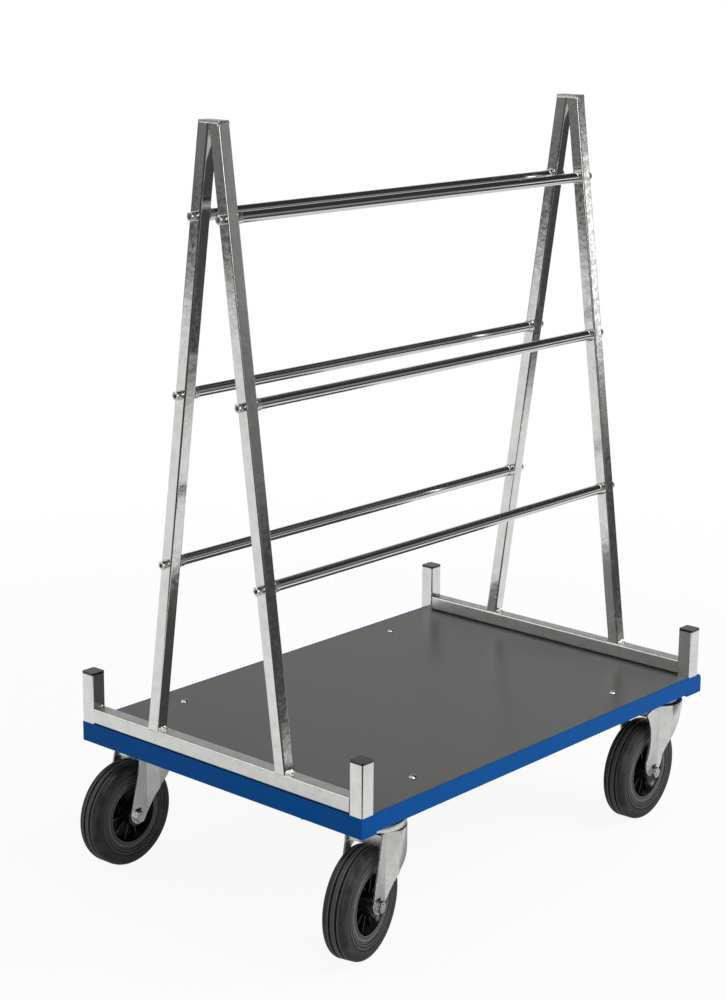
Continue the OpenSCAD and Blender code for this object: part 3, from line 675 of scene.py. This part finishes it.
class OBJECT_OT_cart_wheels(bpy.types.Operator):
    """Finish the moulded wheel centres and turn the dish and the faces of their rims"""

    bl_idname = "object.cart_wheels"
    bl_label = "Wheel centres"

    def execute(self, context):
        colours, sizes = context.scene.cart_finishes, context.scene.cart_sizes
        plastic = moulded_plastic("black_polypropylene_moulded", colours.wheel, shade(colours.edge_highlight), 0.22)
        # Rim faces: the same plastic painted a lighter grey, a painted highlight for the light that the
        # rims catch
        lit_rim_plastic = moulded_plastic("black_polypropylene_painted_lit_rim", colours.rim, shade(colours.edge_highlight), 0.4)
        dress([f"{caster}_wheel" for caster in CASTERS], plastic, sizes.plastic_edge)
        for caster in CASTERS:
            centre, axis, rim, _, _ = wheel_place(caster, "wheel")
            dish, faces = bmesh.new(), bmesh.new()
            for side in (axis, -axis):
                opening = rim - RIM_T
                wall = [(opening + WALL_IN, RIM_HALF - sizes.plastic_edge), (opening + WALL_IN, WEB_HALF)]
                depth = RIM_HALF - DISH_BELOW - WEB_HALF
                turns = [math.pi / 2 * i / DISH_STEPS for i in range(DISH_STEPS, -1, -1)]
                slope = [(opening - DISH * math.sin(t), WEB_HALF + depth * (1 - math.sin(t)))
                         for t in turns]
                lathe(dish, wall + slope, centre, side, sizes.lathe_steps)
                lip = [(opening + LIP_IN + away * sizes.rim_lip, RIM_HALF + up * sizes.rim_lip)
                       for away, up in RIM_LIP]
                face = rim - sizes.rim_gap
                ring = lip + [(face, lip[-1][1]), (face + FACE_LEAN, RIM_HALF - FACE_IN)]
                lathe(faces, ring, centre, side, sizes.lathe_steps)
            for name, shape, material in (("rim_dish", dish, plastic), ("rim_faces", faces, lit_rim_plastic)):
                bmesh.ops.recalc_face_normals(shape, faces=shape.faces)
                new_piece(f"{caster}_{name}", shape, material, f"{caster}_rolling")
        return {"FINISHED"}


def arc(middle_r, middle_y, radius, begin, end, steps):
    """Points of a section's arc, as distance from the axle and place along it; angles in degrees."""
    turns = [math.radians(begin + (end - begin) * i / steps) for i in range(steps + 1)]
    return [(middle_r + radius * math.sin(t), middle_y + radius * math.cos(t)) for t in turns]


# Lip of a tread groove, as a share of the groove's width
GROOVE_LIP = 0.2
# Arc of a tyre's shoulder: first and last angle in degrees, and its steps
SHOULDER_ARC = (90, 20, 10)
# Steps of a tyre's sidewall: share of the way from the shoulder to the rim, and depth in steps
SIDEWALL = ((0.10, 0.0), (0.34, 0.2), (0.38, 1.0), (0.46, 1.0), (0.50, 0.25), (0.62, 0.25), (0.66, 1.1),
            (0.74, 1.1), (0.77, 0.5), (0.85, 0.5), (0.89, 1.7), (1.0, 1.8))


def tyre_section(sizes, outer, inner, half):
    """Half of a tyre's section from the middle of its tread round the shoulder to its seat on the rim."""
    lip = GROOVE_LIP * sizes.groove_w
    groove = sizes.mid_rib / 2
    points = [(outer, 0.0), (outer, groove - lip / 2), (outer - lip / 2, groove)]
    points += [(outer - sizes.groove_d, groove + lip / 2)]
    points += [(outer - sizes.groove_d, groove + sizes.groove_w - lip / 2)]
    points += [(outer - lip / 2, groove + sizes.groove_w), (outer, groove + sizes.groove_w + lip / 2)]
    points += arc(outer - sizes.shoulder, half - sizes.shoulder, sizes.shoulder, *SHOULDER_ARC)
    side = outer - sizes.shoulder
    wall = side - inner
    points += [(side - share * wall, half - sink * sizes.step) for share, sink in SIDEWALL]
    return points


class OBJECT_OT_cart_tyres(bpy.types.Operator):
    """Turn the tyres with their grooves, shoulders and stepped sidewalls"""

    bl_idname = "object.cart_tyres"
    bl_label = "Tyres"

    def execute(self, context):
        sizes = context.scene.cart_sizes
        rubber = tyre_rubber(context.scene.cart_finishes)
        for caster in CASTERS:
            centre, axis, outer, inner, half = wheel_place(caster, "tyre")
            half_section = tyre_section(sizes, outer, inner, half)
            section = half_section + [(r, -y) for r, y in half_section[:0:-1]]
            tyre = bmesh.new()
            lathe(tyre, section, centre, axis, sizes.lathe_steps)
            bmesh.ops.recalc_face_normals(tyre, faces=tyre.faces)
            name = f"{caster}_moulded_tyre"
            piece = new_piece(name, tyre, rubber, f"{caster}_rolling")
            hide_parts(f"{caster}_tyre")
        return {"FINISHED"}


# Radius of the floor, the steps round it, and where its shadow begins to fade and is gone
FLOOR_R = 12.0
FLOOR_STEPS = 128
SHADOW_R = (1.1, 3.0)
# Where the white paper's edges fade, as bright metal reflects it: towards the camera, to the
# right and all round
FRONT, PAPER_FRONT = (-0.669, -0.743, 0.0), (0.95, 1.3)
RIGHT, PAPER_RIGHT = (0.25, -0.97, 0.0), (1.45, 2.1)
PAPER_R = (7.3, 8.6)
# Where the shade under the cart ends, from its middle along and across it
SHADE_X = (0.66, 0.95)
SHADE_Y = (0.40, 0.60)
# Place of the square lamp, the point that it faces and the length of its side
LAMP_PLACE = (2.2, -4.2, 4.6)
LAMP_AIM = (0, 0, 0.5)
LAMP_SIDE = 4.2
# Width of the camera's sensor in millimetres
SENSOR = 36
# What bright metal reflects: direction, cosines from it where it begins and is full, brightness
REFLECTED = (
    # White backdrop behind the cart
    ((0.749, 0.663, 0.0), 0.866, 0.906, 0.66),
    # White wall high on the left
    ((-0.33, 0.62, 0.70), 0.883, 0.951, 1.8),
    # Narrow panel on the right, at the cart's height
    ((0.8068, -0.5905, 0.0218), 0.9984, 0.9994, 2.0),
    # Dimmer and larger panel above it
    ((0.667, -0.715, 0.208), 0.9703, 0.985, 0.3),
    # Pale wall low on the left
    ((-0.769, 0.559, 0.309), 0.962, 0.985, 1.4),
    # Soft box overhead
    ((-0.1, -0.05, 0.994), 0.955, 0.975, 1.5),
    # Small soft box above the camera
    ((-0.235, -0.449, 0.859), 0.972, 0.988, 12.0),
    # Soft box beside the camera
    ((-0.735, -0.645, 0.21), 0.978, 0.99, 5.0),
)
# Rise, as a share of a unit direction, over which the walls give way to the ceiling
WALL_TOP = 0.45
# Dark and pale things in the room: how many to a unit direction, the span of the noise that they take
# up, and their brightness as shares of the room's
THINGS = 10
THINGS_SPAN = (0.3, 0.7)
THINGS_SHARE = (0.2, 1.7)


def studio_floor(stage, colours):
    """Matt white paper: keeps a faint soft shadow near the cart, is plain white farther out."""
    made, tree, place = start("white_paper_floor")
    ray = add(tree, "ShaderNodeLightPath")
    away = add(tree, "ShaderNodeVectorMath", {"operation": "LENGTH"}, {"Vector": place})
    far = add(tree, "ShaderNodeMapRange", {"interpolation_type": "SMOOTHSTEP"}, {
        "Value": away.outputs["Value"], "From Min": SHADOW_R[0], "From Max": SHADOW_R[1],
        "To Min": 1 - stage.shadow})
    plain = add(tree, "ShaderNodeMath", {"operation": "MULTIPLY"}, {
        0: far.outputs["Result"], 1: ray.outputs["Is Camera Ray"]})
    ahead = add(tree, "ShaderNodeVectorMath", {"operation": "DOT_PRODUCT"}, {0: place, 1: FRONT})
    aside = add(tree, "ShaderNodeVectorMath", {"operation": "DOT_PRODUCT"}, {0: place, 1: RIGHT})
    lit = 1.0
    for distance, (full, none) in ((away, PAPER_R), (ahead, PAPER_FRONT), (aside, PAPER_RIGHT)):
        edge = add(tree, "ShaderNodeMapRange", {"interpolation_type": "SMOOTHSTEP"}, {
            "Value": distance.outputs["Value"], "From Min": full, "From Max": none,
            "To Min": 1.0, "To Max": 0.0})
        lit = add(tree, "ShaderNodeMath", {"operation": "MULTIPLY"}, {
            0: lit, 1: edge.outputs["Result"]}).outputs["Value"]
    # Painted shade under the cart, on the floor as reflections see it
    folded = add(tree, "ShaderNodeVectorMath", {"operation": "ABSOLUTE"}, {"Vector": place})
    apart = add(tree, "ShaderNodeSeparateXYZ", None, {"Vector": folded.outputs["Vector"]})
    clear = 0.0
    for axis, (shaded, open_floor) in (("X", SHADE_X), ("Y", SHADE_Y)):
        edge = add(tree, "ShaderNodeMapRange", {"interpolation_type": "SMOOTHSTEP"}, {
            "Value": apart.outputs[axis], "From Min": shaded, "From Max": open_floor,
            "To Min": stage.under})
        clear = add(tree, "ShaderNodeMath", {"operation": "MAXIMUM"}, {
            0: clear, 1: edge.outputs["Result"]}).outputs["Value"]
    lit = add(tree, "ShaderNodeMath", {"operation": "MULTIPLY"}, {0: lit, 1: clear}).outputs["Value"]
    level = add(tree, "ShaderNodeMapRange", None, {"Value": lit, "To Min": stage.bare})
    mirrored = add(tree, "ShaderNodeMath", {"operation": "MAXIMUM"}, {
        0: ray.outputs["Is Glossy Ray"], 1: ray.outputs["Is Transmission Ray"]})
    matt = add(tree, "ShaderNodeBsdfDiffuse", None, {"Color": shade(colours.floor)})
    white = add(tree, "ShaderNodeEmission", None, {"Strength": 1.0})
    # In reflections the floor glows at this painted level instead of being lit
    seen = add(tree, "ShaderNodeEmission", None, {"Strength": level.outputs["Result"]})
    faint = add(tree, "ShaderNodeMixShader", None, {
        0: plain.outputs["Value"], 1: matt.outputs["BSDF"], 2: white.outputs["Emission"]})
    mixed = add(tree, "ShaderNodeMixShader", None, {
        0: mirrored.outputs["Value"], 1: faint.outputs["Shader"], 2: seen.outputs["Emission"]})
    add(tree, "ShaderNodeOutputMaterial", None, {"Surface": mixed.outputs["Shader"]})
    return made


def studio_world(stage):
    """White to the camera, soft light all round, and in reflections soft panels in a dim room."""
    world = bpy.data.worlds.new("studio")
    bpy.context.scene.world = world
    world.use_nodes = True
    tree = world.node_tree
    tree.nodes.clear()
    ray = add(tree, "ShaderNodeLightPath")
    way = add(tree, "ShaderNodeTexCoord").outputs["Generated"]
    rise = add(tree, "ShaderNodeSeparateXYZ", None, {"Vector": way})
    level = add(tree, "ShaderNodeMapRange", {"interpolation_type": "SMOOTHSTEP"}, {
        "Value": rise.outputs["Z"], "From Min": 0.0, "From Max": WALL_TOP,
        "To Min": stage.room, "To Max": stage.ceiling}).outputs["Result"]
    things = add(tree, "ShaderNodeTexNoise", None, {"Vector": way, "Scale": THINGS, "Detail": 2})
    share = add(tree, "ShaderNodeMapRange", None, {
        "Value": things.outputs["Fac"], "From Min": THINGS_SPAN[0], "From Max": THINGS_SPAN[1],
        "To Min": THINGS_SHARE[0], "To Max": THINGS_SHARE[1]})
    level = add(tree, "ShaderNodeMath", {"operation": "MULTIPLY"}, {
        0: level, 1: share.outputs["Result"]}).outputs["Value"]
    for direction, begin, full, strength in REFLECTED:
        facing = add(tree, "ShaderNodeVectorMath", {"operation": "DOT_PRODUCT"}, {0: way, 1: direction})
        panel = add(tree, "ShaderNodeMapRange", {"interpolation_type": "SMOOTHSTEP"}, {
            "Value": facing.outputs["Value"], "From Min": begin, "From Max": full, "To Max": strength})
        level = add(tree, "ShaderNodeMath", {"operation": "MAXIMUM"}, {
            0: level, 1: panel.outputs["Result"]}).outputs["Value"]
    mirrored = add(tree, "ShaderNodeMath", {"operation": "MAXIMUM"}, {
        0: ray.outputs["Is Glossy Ray"], 1: ray.outputs["Is Transmission Ray"]})
    white = (1, 1, 1, 1)
    soft = add(tree, "ShaderNodeBackground", None, {"Color": white, "Strength": stage.sky})
    seen = add(tree, "ShaderNodeBackground", None, {"Color": white, "Strength": level})
    plain = add(tree, "ShaderNodeBackground", None, {"Color": white, "Strength": 1.0})
    inside = add(tree, "ShaderNodeMixShader", None, {
        0: mirrored.outputs["Value"], 1: soft.outputs["Background"], 2: seen.outputs["Background"]})
    mixed = add(tree, "ShaderNodeMixShader", None, {
        0: ray.outputs["Is Camera Ray"], 1: inside.outputs["Shader"], 2: plain.outputs["Background"]})
    add(tree, "ShaderNodeOutputWorld", None, {"Surface": mixed.outputs["Shader"]})


class OBJECT_OT_cart_stage(bpy.types.Operator):
    """Set the white floor, the soft light and the camera"""

    bl_idname = "object.cart_stage"
    bl_label = "Studio"

    def execute(self, context):
        scene = context.scene
        stage = scene.cart_stage
        scene.view_settings.view_transform = "Standard"
        disc = bmesh.new()
        bmesh.ops.create_circle(disc, cap_ends=True, segments=FLOOR_STEPS, radius=FLOOR_R)
        ground = bpy.data.meshes.new("floor")
        disc.to_mesh(ground)
        disc.free()
        ground.materials.append(studio_floor(stage, scene.cart_finishes))
        floor = bpy.data.objects.new("floor", ground)
        scene.collection.objects.link(floor)
        studio_world(stage)

        lamp = bpy.data.lights.new("key_lamp", "AREA")
        lamp.energy = stage.key
        lamp.size = LAMP_SIDE
        holder = bpy.data.objects.new("key_lamp", lamp)
        scene.collection.objects.link(holder)
        holder.visible_glossy = False
        holder.location = LAMP_PLACE
        holder.rotation_euler = (Vector(LAMP_AIM) - Vector(LAMP_PLACE)).to_track_quat("-Z", "Y").to_euler()

        ahead = Vector((math.cos(stage.yaw) * math.cos(stage.pitch),
                        math.sin(stage.yaw) * math.cos(stage.pitch), -math.sin(stage.pitch)))
        level = Vector((math.sin(stage.yaw), -math.cos(stage.yaw), 0))
        above = level.cross(ahead)
        right = level * math.cos(stage.roll) + above * math.sin(stage.roll)
        top = above * math.cos(stage.roll) - level * math.sin(stage.roll)
        view = bpy.data.cameras.new("camera")
        view.sensor_width = SENSOR
        view.sensor_fit = "AUTO"
        view.lens = stage.lens
        camera = bpy.data.objects.new("camera", view)
        scene.collection.objects.link(camera)
        turn = Matrix((right, top, -ahead)).transposed().to_4x4()
        camera.matrix_world = Matrix.Translation(Vector(stage.eye)) @ turn
        scene.camera = camera
        return {"FINISHED"}


OPERATORS = (
    OBJECT_OT_cart_base_frame, OBJECT_OT_cart_deck, OBJECT_OT_cart_a_frames, OBJECT_OT_cart_welds,
    OBJECT_OT_cart_rails, OBJECT_OT_cart_fasteners, OBJECT_OT_cart_post_caps, OBJECT_OT_cart_casters,
    OBJECT_OT_cart_wheels, OBJECT_OT_cart_tyres, OBJECT_OT_cart_stage,
)
GROUPS = {"cart_finishes": CartFinishes, "cart_sizes": CartSizes, "cart_stage": CartStage}


class VIEW3D_PT_cart(bpy.types.Panel):
    """Steps and values of the sheet cart"""

    bl_label = "Sheet cart"
    bl_idname = "VIEW3D_PT_cart"
    bl_space_type = "VIEW_3D"
    bl_region_type = "UI"
    bl_category = "Sheet cart"

    def draw(self, context):
        for step in OPERATORS:
            self.layout.operator(step.bl_idname)
        for group, kind in GROUPS.items():
            box = self.layout.box()
            for name in kind.__annotations__:
                box.prop(getattr(context.scene, group), name)


CLASSES = (*GROUPS.values(), *OPERATORS, VIEW3D_PT_cart)


def register():
    for kind in CLASSES:
        bpy.utils.register_class(kind)
    for group, kind in GROUPS.items():
        setattr(bpy.types.Scene, group, PointerProperty(type=kind))


def unregister():
    for group in GROUPS:
        delattr(bpy.types.Scene, group)
    for kind in reversed(CLASSES):
        bpy.utils.unregister_class(kind)


def main():
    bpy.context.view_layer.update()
    register()
    bpy.ops.object.cart_base_frame()
    bpy.ops.object.cart_deck()
    bpy.ops.object.cart_a_frames()
    bpy.ops.object.cart_welds()
    bpy.ops.object.cart_rails()
    bpy.ops.object.cart_fasteners()
    bpy.ops.object.cart_post_caps()
    bpy.ops.object.cart_casters()
    bpy.ops.object.cart_wheels()
    bpy.ops.object.cart_tyres()
    bpy.ops.object.cart_stage()


if __name__ == "__main__":
    main()
